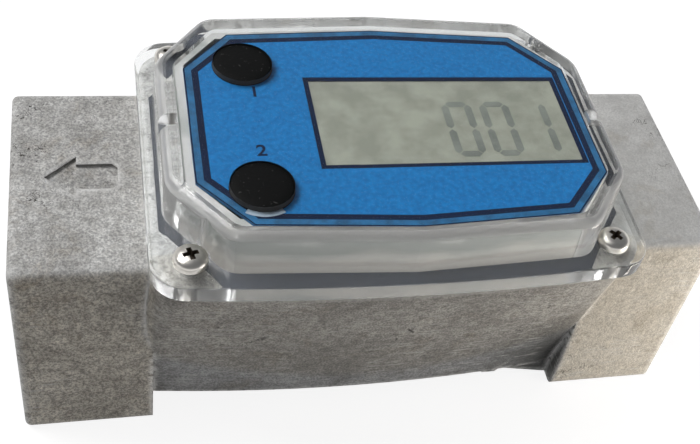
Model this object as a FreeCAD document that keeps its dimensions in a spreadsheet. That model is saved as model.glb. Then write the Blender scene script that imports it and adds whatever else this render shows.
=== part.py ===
"""Turbine flow meter: a die-cast body with two threaded ports and a battery-powered counter head.

Frame: +X runs along the flow axis, +Z is up and the origin is on the ground below the middle of the body.
Liquid enters at the +X port and leaves at the -X port, as the cast arrow says.
"""
import FreeCAD, Part
import math
import os

Vector = FreeCAD.Vector
Placement = FreeCAD.Placement
Rotation = FreeCAD.Rotation

# Driving dimensions in millimetres. Each one becomes an aliased cell of the sheet "Sizes".
SIZES = {
    # cast body
    "body_length": 108.0,
    "block_width": 37.5,
    "block_height": 37.0,
    "block_length": 19.4,
    "block_rounding": 1.3,
    "axis_height": 18.5,
    "seat_height": 38.8,
    "waist_height": 18.5,
    "keel_height": 3.0,
    "web_length": 13.1,
    "web_half_width": 15.6,
    "head_offset": 1.4,
    # flow passage
    "bore_radius": 12.7,
    "port_radius": 16.3,
    "port_depth": 17.0,
    "ring_groove_radius": 13.5,
    "ring_thickness": 1.0,
    "support_inner_end": 11.0,
    "support_length": 9.0,
    "vane_thickness": 1.0,
    # turbine
    "cartridge_radius": 12.65,
    "sleeve_inner_radius": 12.1,
    "rotor_radius": 11.8,
    "rotor_length": 9.0,
    "rotor_hub_radius": 3.3,
    "blade_length": 7.4,
    "blade_thickness": 0.9,
    "blade_twist": 54.0,
    "blade_count": 6.0,
    "magnet_radius": 0.6,
    "magnet_offset": 2.0,
    "magnet_length": 3.0,
    "shaft_radius": 1.0,
    "shaft_length": 32.0,
    "running_clearance": 0.05,
    "seat_clearance": 0.02,
    "washer_radius": 2.3,
    "washer_thickness": 1.0,
    "washer_gap": 0.2,
    # head
    "cavity_floor": 34.5,
    "cavity_depth": 4.3,
    "coil_well_radius": 4.2,
    "coil_well_depth": 1.9,
    "core_radius": 0.9,
    "bobbin_tube_radius": 1.9,
    "bobbin_rim_radius": 4.0,
    "bobbin_wall": 0.8,
    "bobbin_height": 6.8,
    "winding_radius": 3.7,
    "pin_radius": 0.3,
    "pin_offset": 2.8,
    "flange_thickness": 2.7,
    "dome_height": 7.3,
    "dome_bevel": 1.8,
    "ceiling_height": 47.3,
    "cover_pocket_depth": 8.5,
    "gasket_height": 1.3,
    "gasket_width": 1.6,
    "label_thickness": 0.4,
    "label_gap": 0.1,
    "tray_height": 8.0,
    "board_height": 40.4,
    "board_thickness": 1.6,
    "post_radius": 2.3,
    "board_screw_radius": 0.85,
    "board_screw_offset": 2.0,
    "board_screw_pitch_x": 36.0,
    "board_screw_pitch_y": 31.6,
    "display_thickness": 2.1,
    "display_height": 43.9,
    "bezel_height": 4.75,
    "strip_height": 1.9,
    "cell_radius": 10.0,
    "cell_thickness": 3.2,
    "cell_height": 36.6,
    "cell_pitch": 35.0,
    "cover_screw_pitch_x": 62.8,
    "cover_screw_pitch_y": 42.6,
    "cover_screw_radius": 1.2,
    "cover_screw_head_radius": 2.4,
    "button_radius": 4.45,
    "button_hole_radius": 4.65,
    "button_x": -19.9,
    "button_upper_y": 13.7,
    "button_lower_y": -12.75,
    "switch_size": 4.6,
    "switch_height": 1.5,
    "arrow_depth": 0.6,
}

os.makedirs("parts", exist_ok=True)
doc = FreeCAD.newDocument("flow_meter")
sheet = doc.addObject("Spreadsheet::Sheet", "Sizes")
for row, (alias, number) in enumerate(SIZES.items(), start=1):
    sheet.set("A%d" % row, alias)
    sheet.set("B%d" % row, str(number))
    sheet.setAlias("B%d" % row, alias)
doc.recompute()

nodes = []


def size(alias):
    """The number in the sheet's cell."""
    return float(sheet.get(alias))


def bind(target, **expressions):
    """Ties properties to sheet cells; a double underscore in a name stands for a dot."""
    for path, expression in expressions.items():
        target.setExpression(path.replace("__", "."), expression)


def new_body(name):
    body = doc.addObject("PartDesign::Body", name)
    body.Label = name
    body.AllowCompound = True
    nodes.append(body)
    return body


def origin_part(body, role):
    return next(part for part in body.Origin.OriginFeatures if part.Role == role)


def new_sketch(body, name, role="XY_Plane", height=0.0, turn=0.0, height_from=None):
    """A sketch parallel to one of the body's planes. height_from gives the offset as an expression."""
    sketch = body.newObject("Sketcher::SketchObject", name)
    sketch.AttachmentSupport = (origin_part(body, role), "")
    sketch.MapMode = "FlatFace"
    sketch.AttachmentOffset = Placement(Vector(0, 0, height), Rotation(Vector(0, 0, 1), turn))
    if height_from:
        sketch.setExpression("AttachmentOffset.Base.z", height_from)
    return sketch


def add_loop(sketch, points):
    """A closed outline of straight lines."""
    for start, end in zip(points, points[1:] + points[:1]):
        sketch.addGeometry(Part.LineSegment(Vector(*start, 0), Vector(*end, 0)), False)


def add_circle(sketch, radius, x=0.0, y=0.0):
    sketch.addGeometry(Part.Circle(Vector(x, y, 0), Vector(0, 0, 1), radius), False)


def add_box_outline(sketch, low, high):
    add_loop(sketch, [low, (high[0], low[1]), high, (low[0], high[1])])


def decagon(half_length, half_width, bow, cut_x, cut_y, middle=0.0):
    """A rectangle with cut corners whose long sides are bent outward at the middle."""
    right = [(half_length - cut_x, -half_width), (half_length, cut_y - half_width),
             (half_length, half_width - cut_y), (half_length - cut_x, half_width)]
    left = [(-x, -y) for x, y in right]
    ring = right + [(0.0, half_width + bow)] + left + [(0.0, -half_width - bow)]
    return [(middle + x, y) for x, y in ring]


def add_bowed_rectangle(sketch, half_length, half_width, bow, corner, middle=0.0):
    """A rectangle with round corners whose long sides are shallow arcs."""
    x_in, y_in = half_length - corner, half_width - corner
    for side in (1, -1):
        sketch.addGeometry(Part.LineSegment(Vector(middle + side * half_length, -side * y_in, 0),
                                            Vector(middle + side * half_length, side * y_in, 0)), False)
        sketch.addGeometry(Part.Arc(Vector(middle + side * x_in, side * half_width, 0),
                                    Vector(middle, side * (half_width + bow), 0),
                                    Vector(middle - side * x_in, side * half_width, 0)), False)
    add_round_corners(sketch, x_in, y_in, corner, middle)


def add_rounded_rectangle(sketch, half_width, half_height, corner):
    """A rectangle with straight sides and round corners."""
    x_in, y_in = half_width - corner, half_height - corner
    for side in (1, -1):
        sketch.addGeometry(Part.LineSegment(Vector(side * half_width, -side * y_in, 0),
                                            Vector(side * half_width, side * y_in, 0)), False)
        sketch.addGeometry(Part.LineSegment(Vector(side * x_in, side * half_height, 0),
                                            Vector(-side * x_in, side * half_height, 0)), False)
    add_round_corners(sketch, x_in, y_in, corner)


def add_round_corners(sketch, x_in, y_in, corner, middle=0.0):
    """The four quarter circles of a round-cornered outline, about the given centres."""
    across = corner / math.sqrt(2.0)
    for x_side, y_side in ((1, 1), (-1, 1), (-1, -1), (1, -1)):
        centre = Vector(middle + x_side * x_in, y_side * y_in, 0)
        sketch.addGeometry(Part.Arc(centre + Vector(x_side * corner, 0, 0),
                                    centre + Vector(x_side * across, y_side * across, 0),
                                    centre + Vector(0, y_side * corner, 0)), False)


def rectangle_corners(pitches, middle=0.0):
    """Four places at the corners of a rectangle, from the name that its two pitches begin with."""
    half_x, half_y = size(pitches + "_pitch_x") / 2, size(pitches + "_pitch_y") / 2
    return [(middle + half_x * x, half_y * y) for x in (-1, 1) for y in (-1, 1)]


def pad(body, sketch, name, length_from, reverse=False):
    """A pad whose length is an expression."""
    feature = body.newObject("PartDesign::Pad", name)
    feature.Profile = sketch
    feature.Reversed = reverse
    feature.setExpression("Length", length_from)
    doc.recompute()
    return feature


def symmetric_pad(body, sketch, name, length_from):
    """A pad that grows to both sides of its sketch."""
    feature = body.newObject("PartDesign::Pad", name)
    feature.Profile = sketch
    feature.SideType = "Symmetric"
    feature.setExpression("Length", length_from)
    doc.recompute()
    return feature


def pocket(body, sketch, name, depth_from, reverse=False):
    """A pocket whose depth is an expression. It has to take material away."""
    before = body.Shape.Volume
    feature = body.newObject("PartDesign::Pocket", name)
    feature.Profile = sketch
    feature.Reversed = reverse
    feature.setExpression("Length", depth_from)
    doc.recompute()
    if body.Shape.Volume > before - 1e-3:
        raise ValueError("%s removes nothing" % name)
    return feature


def revolve(body, sketch, name, axis="H_Axis", kind="PartDesign::Revolution"):
    feature = body.newObject(kind, name)
    feature.Profile = sketch
    feature.ReferenceAxis = (sketch, [axis])
    feature.Angle = 360.0
    doc.recompute()
    return feature


def loft(body, sections, name, ruled=False):
    feature = body.newObject("PartDesign::AdditiveLoft", name)
    feature.Profile = sections[0]
    feature.Sections = sections[1:]
    feature.Ruled = ruled
    doc.recompute()
    return feature


def polar_pattern(body, originals, name, count_from, role="X_Axis"):
    feature = body.newObject("PartDesign::PolarPattern", name)
    feature.Originals = originals
    feature.Axis = (origin_part(body, role), [""])
    feature.Angle = 360.0
    feature.setExpression("Occurrences", count_from)
    body.Tip = feature
    doc.recompute()
    return feature


def repeat(body, originals, name, role, pitch_from):
    """A second copy of the originals, one pitch further along an axis of the body."""
    feature = body.newObject("PartDesign::LinearPattern", name)
    feature.Originals = originals
    feature.Direction = (origin_part(body, role), [""])
    feature.Occurrences = 2
    feature.setExpression("Length", pitch_from)
    body.Tip = feature
    doc.recompute()
    return feature


def edge_names(shape, wanted):
    """Names of the edges that pass a test on their bounding box."""
    return ["Edge%d" % number for number, edge in enumerate(shape.Edges, start=1) if wanted(edge.BoundBox)]


def dress(body, kind, name, wanted, amount):
    """A fillet or chamfer on the edges that pass the test."""
    base = body.Tip
    feature = body.newObject(kind, name)
    feature.Base = (base, edge_names(base.Shape, wanted))
    if kind.endswith("Fillet"):
        feature.Radius = amount
    else:
        feature.Size = amount
    doc.recompute()
    return feature



def gasket_outline(offset):
    """The centre line of the gasket, moved outward by the offset."""
    return decagon(33.8 + offset, 23.0 + offset, 1.5, 7.5 + offset * 0.45, 9.5 + offset * 0.45,
                   size("head_offset"))


# ------------------------------------------------------------------------------------------------
# Cast body. It is drawn about the flow axis and lifted to its height by its placement.
# ------------------------------------------------------------------------------------------------

def make_body_casting():
    body = new_body("body_casting")
    bind(body, Placement__Base__z="Sizes.axis_height")
    lift = size("axis_height")
    middle = size("head_offset")

    # Waist between the ports: wide as the cover at its seat, narrower than the blocks at its keel.
    sections = []
    for name, alias, half_length, half_width, bow, corner in (
            ("KeelSection", "keel_height", 36.5, 15.6, 1.9, 3.0),
            ("WaistSection", "waist_height", 36.5, 19.0, 1.9, 3.0),
            ("SeatSection", "seat_height", 36.1, 25.0, 1.8, 5.6)):
        section = new_sketch(body, name, height_from="Sizes.%s - Sizes.axis_height" % alias)
        shift = middle if alias == "seat_height" else 0.0
        add_bowed_rectangle(section, half_length, half_width, bow, corner, shift)
        sections.append(section)
    loft(body, sections, "Waist")

    # The two end blocks, and under the inlet block a web that runs down to the keel along a rib.
    half_width, half_height = size("block_width") / 2, size("block_height") / 2
    block = new_sketch(body, "BlockSection", "YZ_Plane", height_from="-Sizes.body_length / 2")
    add_rounded_rectangle(block, half_width, half_height, size("block_rounding"))
    block_pad = pad(body, block, "Block", "Sizes.block_length")
    mirror = body.newObject("PartDesign::Mirrored", "OtherEnd")
    mirror.Originals = [block_pad]
    mirror.MirrorPlane = (origin_part(body, "YZ_Plane"), [""])
    body.Tip = mirror
    doc.recompute()
    end = size("body_length") / 2
    inner_face = end - size("block_length")
    keel = size("keel_height") - lift
    web_foot = inner_face - size("web_length")
    web = new_sketch(body, "WebOutline", "XZ_Plane")
    add_loop(web, [(inner_face + 1, 0.0), (inner_face + 1, -half_height), (inner_face, -half_height),
                   (web_foot, keel), (web_foot, keel + 1)])
    symmetric_pad(body, web, "Web", "2 * Sizes.web_half_width")
    rib = new_sketch(body, "RibOutline", "XZ_Plane")
    add_loop(rib, [(inner_face + 1, 0.6), (inner_face + 1, -1.4), (web_foot + 2.4, keel), (web_foot, keel),
                   (web_foot, keel + 0.6)])
    symmetric_pad(body, rib, "Rib", "2 * Sizes.web_half_width + 2.6")
    dress(body, "PartDesign::Fillet", "EndRounding",
          lambda box: abs(abs(box.XMin) - end) < 1e-3 and box.XLength < 1e-3, 1.0)

    # Flow passage: tapped port, seat of the cartridge and the two grooves of its rings.
    half = new_sketch(body, "PassageProfile", "XZ_Plane")
    port_end = end - size("port_depth")
    ring_out = size("support_inner_end") + size("support_length") + size("ring_thickness")
    ring_in = ring_out - size("ring_thickness")
    port, bore, groove_radius = size("port_radius"), size("bore_radius"), size("ring_groove_radius")
    upper = [(end + 1, port + 2.0), (end - 1, port), (port_end, port), (port_end - 1.5, bore),
             (ring_out, bore), (ring_out, groove_radius), (ring_in, groove_radius), (ring_in, bore)]
    lower = [(-x, radius) for x, radius in reversed(upper)]
    add_loop(half, [(-end - 1, 0.0), (end + 1, 0.0)] + upper + lower)
    revolve(body, half, "Passage", kind="PartDesign::Groove")

    # Electronics cavity, coil well, posts of the circuit board and their holes.
    seat = size("seat_height") - lift
    floor = size("cavity_floor") - lift
    cavity = new_sketch(body, "CavityOutline", height_from="Sizes.seat_height - Sizes.axis_height")
    add_loop(cavity, decagon(30.6, 20.0, 0.6, 9.0, 10.5, middle))
    pocket(body, cavity, "Cavity", "Sizes.cavity_depth")
    well = new_sketch(body, "CoilWellOutline", height=floor)
    add_circle(well, size("coil_well_radius"))
    pocket(body, well, "CoilWell", "Sizes.coil_well_depth")
    posts = new_sketch(body, "PostOutlines", height=floor)
    post_holes = new_sketch(body, "PostHoleOutlines", height_from="Sizes.board_height - Sizes.axis_height")
    for place in rectangle_corners("board_screw", middle + size("board_screw_offset")):
        add_circle(posts, size("post_radius"), *place)
        add_circle(post_holes, size("board_screw_radius") + size("running_clearance"), *place)
    pad(body, posts, "Posts", "Sizes.board_height - Sizes.cavity_floor")
    pocket(body, post_holes, "PostHoles", "4.5")

    # Seat of the cover: gasket groove and screw holes.
    groove = new_sketch(body, "GasketGrooveOutline", height=seat)
    for side in (1, -1):
        add_loop(groove, gasket_outline(side * size("gasket_width") / 2))
    pocket(body, groove, "GasketGroove", "Sizes.gasket_height")
    screw_holes = new_sketch(body, "ScrewHoleOutlines", height=seat)
    for place in rectangle_corners("cover_screw", middle):
        add_circle(screw_holes, size("cover_screw_radius") + size("running_clearance"), *place)
    pocket(body, screw_holes, "ScrewHoles", "5.2")

    # Flow arrow sunk in the top of the outlet block.
    arrow = new_sketch(body, "ArrowOutline", height=half_height)
    add_loop(arrow, [(-49.2, 0.0), (-44.7, -4.2), (-44.7, -2.6), (-39.6, -2.6), (-38.8, -1.8),
                     (-38.8, 1.8), (-39.6, 2.6), (-44.7, 2.6), (-44.7, 4.2)])
    pocket(body, arrow, "Arrow", "Sizes.arrow_depth")
    return body


# ------------------------------------------------------------------------------------------------
# Turbine cartridge. Its pieces are drawn about the flow axis, like the cast body.
# ------------------------------------------------------------------------------------------------

def add_half_profile(body, name, points):
    """Revolves a closed profile of (x, radius) points about the flow axis."""
    sketch = new_sketch(body, name + "Profile", "XZ_Plane")
    add_loop(sketch, points)
    return revolve(body, sketch, name)


def make_support(name, direction):
    """A spoked ring that carries one end of the shaft. Its cone points away from the rotor."""
    body = new_body(name)
    bind(body, Placement__Base__z="Sizes.axis_height")
    near = size("support_inner_end")
    far = near + size("support_length")
    ring_inner = size("cartridge_radius") - 1.2
    tip = size("rotor_length") / 2 + size("washer_gap") + size("washer_thickness")
    bore = size("shaft_radius") + size("seat_clearance")
    hub, washer = size("rotor_hub_radius"), size("washer_radius")

    hub_points = [(tip, bore), (far - 4.0, bore), (far - 4.0, 0.0), (far + 3.0, 0.0), (far + 2.4, 1.3),
                  (far + 1.0, 2.5), (far - 1.0, hub), (near, hub), (near - 1.0, washer), (tip, washer)]
    add_half_profile(body, "Hub", [(direction * x, radius) for x, radius in hub_points])
    vane = new_sketch(body, "VaneOutline", "XZ_Plane")
    vane_ends = sorted((direction * near, direction * far))
    add_box_outline(vane, (vane_ends[0], hub - 0.8), (vane_ends[1], ring_inner + 0.4))
    vane_pad = symmetric_pad(body, vane, "Vane", "Sizes.vane_thickness")
    polar_pattern(body, [vane_pad], "Vanes", "4")
    add_half_profile(body, "Ring", [(direction * x, radius) for x, radius in
                                    ((near, ring_inner), (far, ring_inner), (far, size("cartridge_radius")),
                                     (near, size("cartridge_radius")))])
    return body


def make_rotor():
    """Hub with helical blades, bored to run on the shaft. Two blind holes hold the magnets."""
    body = new_body("rotor")
    bind(body, Placement__Base__z="Sizes.axis_height")
    half = size("rotor_length") / 2
    bore = size("shaft_radius") + size("running_clearance")
    hub = size("rotor_hub_radius")
    add_half_profile(body, "Hub", [(-half, bore), (half, bore), (half, hub - 0.6), (half - 0.6, hub),
                                   (0.6 - half, hub), (-half, hub - 0.6)])
    root, tip = hub - 0.7, size("rotor_radius")
    half_thickness = size("blade_thickness") / 2
    sections = []
    steps = 4
    for step in range(steps + 1):
        share = step / steps - 0.5
        section = new_sketch(body, "BladeSection%d" % step, "YZ_Plane", share * size("blade_length"),
                             share * size("blade_twist"))
        add_box_outline(section, (root, -half_thickness), (tip, half_thickness))
        sections.append(section)
    blade = loft(body, sections, "Blade")
    polar_pattern(body, [blade], "Blades", "Sizes.blade_count")
    pins = new_sketch(body, "MagnetHoleOutlines", "YZ_Plane", half)
    add_magnet_outlines(pins)
    pocket(body, pins, "MagnetHoles", "Sizes.magnet_length")
    return body


def add_magnet_outlines(sketch):
    """Two circles, on opposite sides of the shaft."""
    for side in (1, -1):
        add_circle(sketch, size("magnet_radius"), 0.0, side * size("magnet_offset"))


def make_rotor_magnets():
    body = new_body("rotor_magnets")
    bind(body, Placement__Base__z="Sizes.axis_height")
    pins = new_sketch(body, "Outlines", "YZ_Plane", height_from="Sizes.rotor_length / 2")
    add_magnet_outlines(pins)
    pad(body, pins, "Magnets", "Sizes.magnet_length", reverse=True)
    return body


def make_rotor_shaft():
    body = new_body("rotor_shaft")
    bind(body, Placement__Base__z="Sizes.axis_height")
    outline = new_sketch(body, "Outline", "YZ_Plane", height_from="-Sizes.shaft_length / 2")
    add_circle(outline, size("shaft_radius"))
    pad(body, outline, "Shaft", "Sizes.shaft_length")
    dress(body, "PartDesign::Chamfer", "Ends", lambda box: box.XLength < 1e-3, 0.2)
    return body


def make_thrust_washers():
    body = new_body("thrust_washers")
    bind(body, Placement__Base__z="Sizes.axis_height")
    near = size("rotor_length") / 2 + size("washer_gap")
    far = near + size("washer_thickness")
    inner, outer = size("shaft_radius") + size("seat_clearance"), size("washer_radius")
    for name, low, high in (("Outlet", -far, -near), ("Inlet", near, far)):
        add_half_profile(body, name, [(low, inner), (high, inner), (high, outer), (low, outer)])
    return body


def make_flow_sleeve():
    """The tube that keeps the two supports apart round the rotor."""
    body = new_body("flow_sleeve")
    bind(body, Placement__Base__z="Sizes.axis_height")
    end = size("support_inner_end")
    inner, outer = size("sleeve_inner_radius"), size("cartridge_radius")
    add_half_profile(body, "Sleeve", [(-end, inner), (end, inner), (end, outer), (-end, outer)])
    return body


def make_retaining_rings():
    """Two snap rings, each open at the top between two eyes."""
    body = new_body("retaining_rings")
    bind(body, Placement__Base__z="Sizes.axis_height")
    near = size("support_inner_end") + size("support_length")
    for name, start in (("Outlet", -near - size("ring_thickness")), ("Inlet", near)):
        outline = new_sketch(body, name + "Outline", "YZ_Plane", start)
        add_snap_ring(outline, size("ring_groove_radius") - 0.05, 11.7, math.radians(14))
        pad(body, outline, name + "Ring", "Sizes.ring_thickness")
        eyes = new_sketch(body, name + "EyeOutlines", "YZ_Plane", start + size("ring_thickness"))
        for side in (-1, 1):
            angle = math.pi / 2 + side * math.radians(18)
            add_circle(eyes, 0.45, 11.2 * math.cos(angle), 11.2 * math.sin(angle))
        pocket(body, eyes, name + "Eyes", "Sizes.ring_thickness")
    return body


def add_snap_ring(sketch, outer, inner, half_gap):
    """A ring open at the top, with wider ends for its two eyes."""
    top = math.pi / 2

    def at(radius, angle):
        return Vector(radius * math.cos(angle), radius * math.sin(angle), 0)

    eye_inner = inner - 1.6
    wide = math.radians(22)
    left, right = top + half_gap, top - half_gap
    sketch.addGeometry(Part.Arc(at(outer, left), at(outer, -top), at(outer, right + 2 * math.pi)), False)
    sketch.addGeometry(Part.Arc(at(inner, top + wide), at(inner, -top), at(inner, top - wide)), False)
    for edge, far_edge in ((left, top + wide), (right, top - wide)):
        sketch.addGeometry(Part.LineSegment(at(outer, edge), at(eye_inner, edge)), False)
        sketch.addGeometry(Part.Arc(at(eye_inner, edge), at(eye_inner, (edge + far_edge) / 2),
                                    at(eye_inner, far_edge)), False)
        sketch.addGeometry(Part.LineSegment(at(eye_inner, far_edge), at(inner, far_edge)), False)


# ------------------------------------------------------------------------------------------------
# Pickup: a coil on a bobbin over the rotor, in the well of the cast body.
# ------------------------------------------------------------------------------------------------

def make_pickup_bobbin():
    body = new_body("pickup_bobbin")
    bind(body, Placement__Base__z="Sizes.cavity_floor - Sizes.coil_well_depth")
    profile = new_sketch(body, "Profile", "XZ_Plane")
    core, tube, rim = size("core_radius"), size("bobbin_tube_radius"), size("bobbin_rim_radius")
    wall, height = size("bobbin_wall"), size("bobbin_height")
    add_loop(profile, [(core, 0.0), (rim, 0.0), (rim, wall), (tube, wall), (tube, height - wall),
                       (rim, height - wall), (rim, height), (core, height)])
    revolve(body, profile, "Bobbin", "V_Axis")
    return body


def make_pickup_winding():
    body = new_body("pickup_winding")
    bind(body, Placement__Base__z="Sizes.cavity_floor - Sizes.coil_well_depth + Sizes.bobbin_wall")
    outline = new_sketch(body, "Outline")
    add_circle(outline, size("winding_radius"))
    add_circle(outline, size("bobbin_tube_radius"))
    pad(body, outline, "Winding", "Sizes.bobbin_height - 2 * Sizes.bobbin_wall")
    return body


def make_pickup_core():
    """The iron pin inside the bobbin."""
    core = doc.addObject("Part::Cylinder", "pickup_core")
    core.Label = "pickup_core"
    bind(core, Radius="Sizes.core_radius", Height="Sizes.bobbin_height",
         Placement__Base__z="Sizes.cavity_floor - Sizes.coil_well_depth")
    nodes.append(core)
    return core


def make_pickup_pins():
    """Two pins that join the winding to the circuit board."""
    body = new_body("pickup_pins")
    bind(body, Placement__Base__z="Sizes.cavity_floor - Sizes.coil_well_depth + Sizes.bobbin_height")
    outlines = new_sketch(body, "Outlines")
    for side in (1, -1):
        add_circle(outlines, size("pin_radius"), 0.0, side * size("pin_offset"))
    pad(body, outlines, "Pins",
        "Sizes.board_height - Sizes.cavity_floor + Sizes.coil_well_depth - Sizes.bobbin_height")
    return body


# ------------------------------------------------------------------------------------------------
# Counter head. Its pieces are drawn about the middle of the cover and moved with the head.
# ------------------------------------------------------------------------------------------------

def head_body(name, height_from):
    body = new_body(name)
    bind(body, Placement__Base__x="Sizes.head_offset", Placement__Base__z=height_from)
    return body


def make_cover_gasket():
    body = new_body("cover_gasket")
    bind(body, Placement__Base__z="Sizes.seat_height - Sizes.gasket_height")
    outline = new_sketch(body, "Outline")
    for side in (1, -1):
        add_loop(outline, gasket_outline(side * size("gasket_width") / 2))
    pad(body, outline, "Gasket", "Sizes.gasket_height")
    return body


def button_places():
    """Middles of the upper and the lower button, from the middle of the cover."""
    x = size("button_x") - size("head_offset")
    return [(x, size("button_upper_y")), (x, size("button_lower_y"))]


def make_clear_cover():
    """Screwed flange with a bevelled dome, hollow from below, and two holes for the buttons."""
    body = head_body("clear_cover", "Sizes.seat_height")
    flange = new_sketch(body, "FlangeOutline")
    add_bowed_rectangle(flange, 36.9, 25.6, 1.8, 6.4)
    pad(body, flange, "Flange", "Sizes.flange_thickness")
    top = size("flange_thickness")
    dress(body, "PartDesign::Fillet", "FlangeRounding",
          lambda box: abs(box.ZMin - top) < 1e-3 and box.ZLength < 1e-3, 0.7)
    dome = new_sketch(body, "DomeOutline", height_from="Sizes.flange_thickness")
    add_loop(dome, decagon(34.7, 23.8, 1.4, 7.3, 11.2))
    dome_pad = pad(body, dome, "Dome", "Sizes.dome_height")
    dome_pad.TaperAngle = -4.0
    doc.recompute()
    top += size("dome_height")
    dress(body, "PartDesign::Chamfer", "DomeBevel",
          lambda box: abs(box.ZMin - top) < 1e-3 and box.ZLength < 1e-3, size("dome_bevel"))

    notches = new_sketch(body, "NotchOutlines", height=top)
    for x_near, x_far in ((-36.0, -32.2), (32.2, 36.0)):
        add_box_outline(notches, (x_near, -1.3), (x_far, 1.3))
    pocket(body, notches, "Notches", "2.2")
    inside = new_sketch(body, "InsideOutline")
    add_loop(inside, decagon(31.7, 20.9, 1.4, 6.4, 8.4))
    pocket(body, inside, "Inside", "Sizes.cover_pocket_depth", reverse=True)
    screws = new_sketch(body, "ScrewHoleOutlines", height_from="Sizes.flange_thickness")
    seats = new_sketch(body, "ScrewSeatOutlines", height=top)
    for place in rectangle_corners("cover_screw"):
        add_circle(screws, size("cover_screw_radius") + 0.15, *place)
        add_circle(seats, size("cover_screw_head_radius") + 0.35, *place)
    pocket(body, screws, "ScrewHoles", "Sizes.flange_thickness")
    pocket(body, seats, "ScrewSeats", "Sizes.dome_height")
    buttons = new_sketch(body, "ButtonHoleOutlines", height=top)
    for place in button_places():
        add_circle(buttons, size("button_hole_radius"), *place)
    pocket(body, buttons, "ButtonHoles", "3")
    return body


def window_outline(margin=0.0, end_margin=None):
    """Corners of the display window, moved outward. The end near the tray may have a margin of its own."""
    end_margin = margin if end_margin is None else end_margin
    return (-12.4 - margin, -10.5 - margin), (29.1 + end_margin, 9.55 + margin)


def make_face_label():
    body = head_body("face_label", "Sizes.ceiling_height - Sizes.label_gap - Sizes.label_thickness")
    outline = new_sketch(body, "Outline")
    add_loop(outline, decagon(31.0, 20.4, 1.4, 6.2, 7.4))
    add_box_outline(outline, *window_outline())
    for place in button_places():
        add_circle(outline, size("button_hole_radius") + 0.15, *place)
    pad(body, outline, "Label", "Sizes.label_thickness")
    return body


def make_label_tray():
    """Pale ring that stands on the casting and carries the edge of the label."""
    body = head_body("label_tray", "Sizes.seat_height")
    outline = new_sketch(body, "Outline")
    add_loop(outline, decagon(31.4, 20.6, 1.4, 6.3, 8.2))
    add_loop(outline, decagon(30.0, 19.2, 1.4, 5.2, 6.4))
    pad(body, outline, "Ring", "Sizes.tray_height")
    return body


def make_display_bezel():
    """Dark frame that holds the display on the circuit board and shows inside the window."""
    body = head_body("display_bezel", "Sizes.board_height + Sizes.board_thickness")
    outline = new_sketch(body, "Outline")
    add_box_outline(outline, *window_outline(1.8, 0.6))
    pad(body, outline, "Frame", "Sizes.bezel_height")
    seat = new_sketch(body, "SeatOutline")
    add_box_outline(seat, *window_outline(1.1, -0.3))
    pocket(body, seat, "Seat", "Sizes.display_height + Sizes.display_thickness - Sizes.board_height"
                               " - Sizes.board_thickness", reverse=True)
    window = new_sketch(body, "WindowOutline", height_from="Sizes.bezel_height")
    add_box_outline(window, *window_outline(-1.0))
    pocket(body, window, "Window", "Sizes.bezel_height")
    return body


def make_display_glass():
    glass = doc.addObject("Part::Box", "display_glass")
    glass.Label = "display_glass"
    low, high = window_outline(1.0, -0.4)
    glass.Length = high[0] - low[0]
    glass.Width = high[1] - low[1]
    glass.Placement.Base = Vector(low[0] + size("head_offset"), low[1], 0)
    bind(glass, Height="Sizes.display_thickness", Placement__Base__z="Sizes.display_height")
    nodes.append(glass)
    return glass


def make_contact_strips():
    """Two striped rubber strips that join the display's contacts to the board."""
    body = head_body("contact_strips", "Sizes.board_height + Sizes.board_thickness")
    outline = new_sketch(body, "Outlines")
    low, high = window_outline(0.8)
    add_box_outline(outline, (low[0] + 2, low[1]), (high[0] - 2, low[1] + 1.8))
    add_box_outline(outline, (low[0] + 2, high[1] - 1.8), (high[0] - 2, high[1]))
    pad(body, outline, "Strips", "Sizes.strip_height")
    return body


def make_circuit_board():
    body = head_body("circuit_board", "Sizes.board_height")
    outline = new_sketch(body, "Outline")
    add_loop(outline, decagon(29.6, 18.8, 0.6, 8.5, 9.5))
    for place in rectangle_corners("board_screw", size("board_screw_offset")):
        add_circle(outline, size("board_screw_radius") + 0.25, *place)
    pad(body, outline, "Board", "Sizes.board_thickness")
    return body


def pan_head_screw(body, shank_radius, shank_length, head_radius, head_height, x, y):
    """Revolves one screw about a line parallel to Z, its head above the sketch's X axis."""
    profile = new_sketch(body, "Profile", "XZ_Plane", height=-y)
    axis = Part.LineSegment(Vector(x, -shank_length, 0), Vector(x, head_height, 0))
    profile.addGeometry(axis, True)
    add_crowned_profile(profile, x, head_height, [
        (0.0, -shank_length), (shank_radius - 0.3, -shank_length), (shank_radius, 0.4 - shank_length),
        (shank_radius, 0.0), (head_radius, 0.0), (head_radius, head_height * 0.45)])
    return revolve(body, profile, "Screw", "Axis0")


def add_crowned_profile(sketch, axis_x, top, points):
    """Half a profile of (radius, height) points. A dome centred on the axis closes it at the top."""
    points = [(axis_x + radius, height) for radius, height in points]
    for start, end in zip(points, points[1:]):
        sketch.addGeometry(Part.LineSegment(Vector(*start, 0), Vector(*end, 0)), False)
    reach, rise = points[-1][0] - axis_x, top - points[-1][1]
    radius = (reach ** 2 + rise ** 2) / (2 * rise)
    half_angle = math.asin(reach / radius) / 2
    middle = Vector(axis_x + radius * math.sin(half_angle), top - radius + radius * math.cos(half_angle), 0)
    crown = Vector(axis_x, top, 0)
    sketch.addGeometry(Part.Arc(Vector(*points[-1], 0), middle, crown), False)
    sketch.addGeometry(Part.LineSegment(crown, Vector(*points[0], 0)), False)


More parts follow.
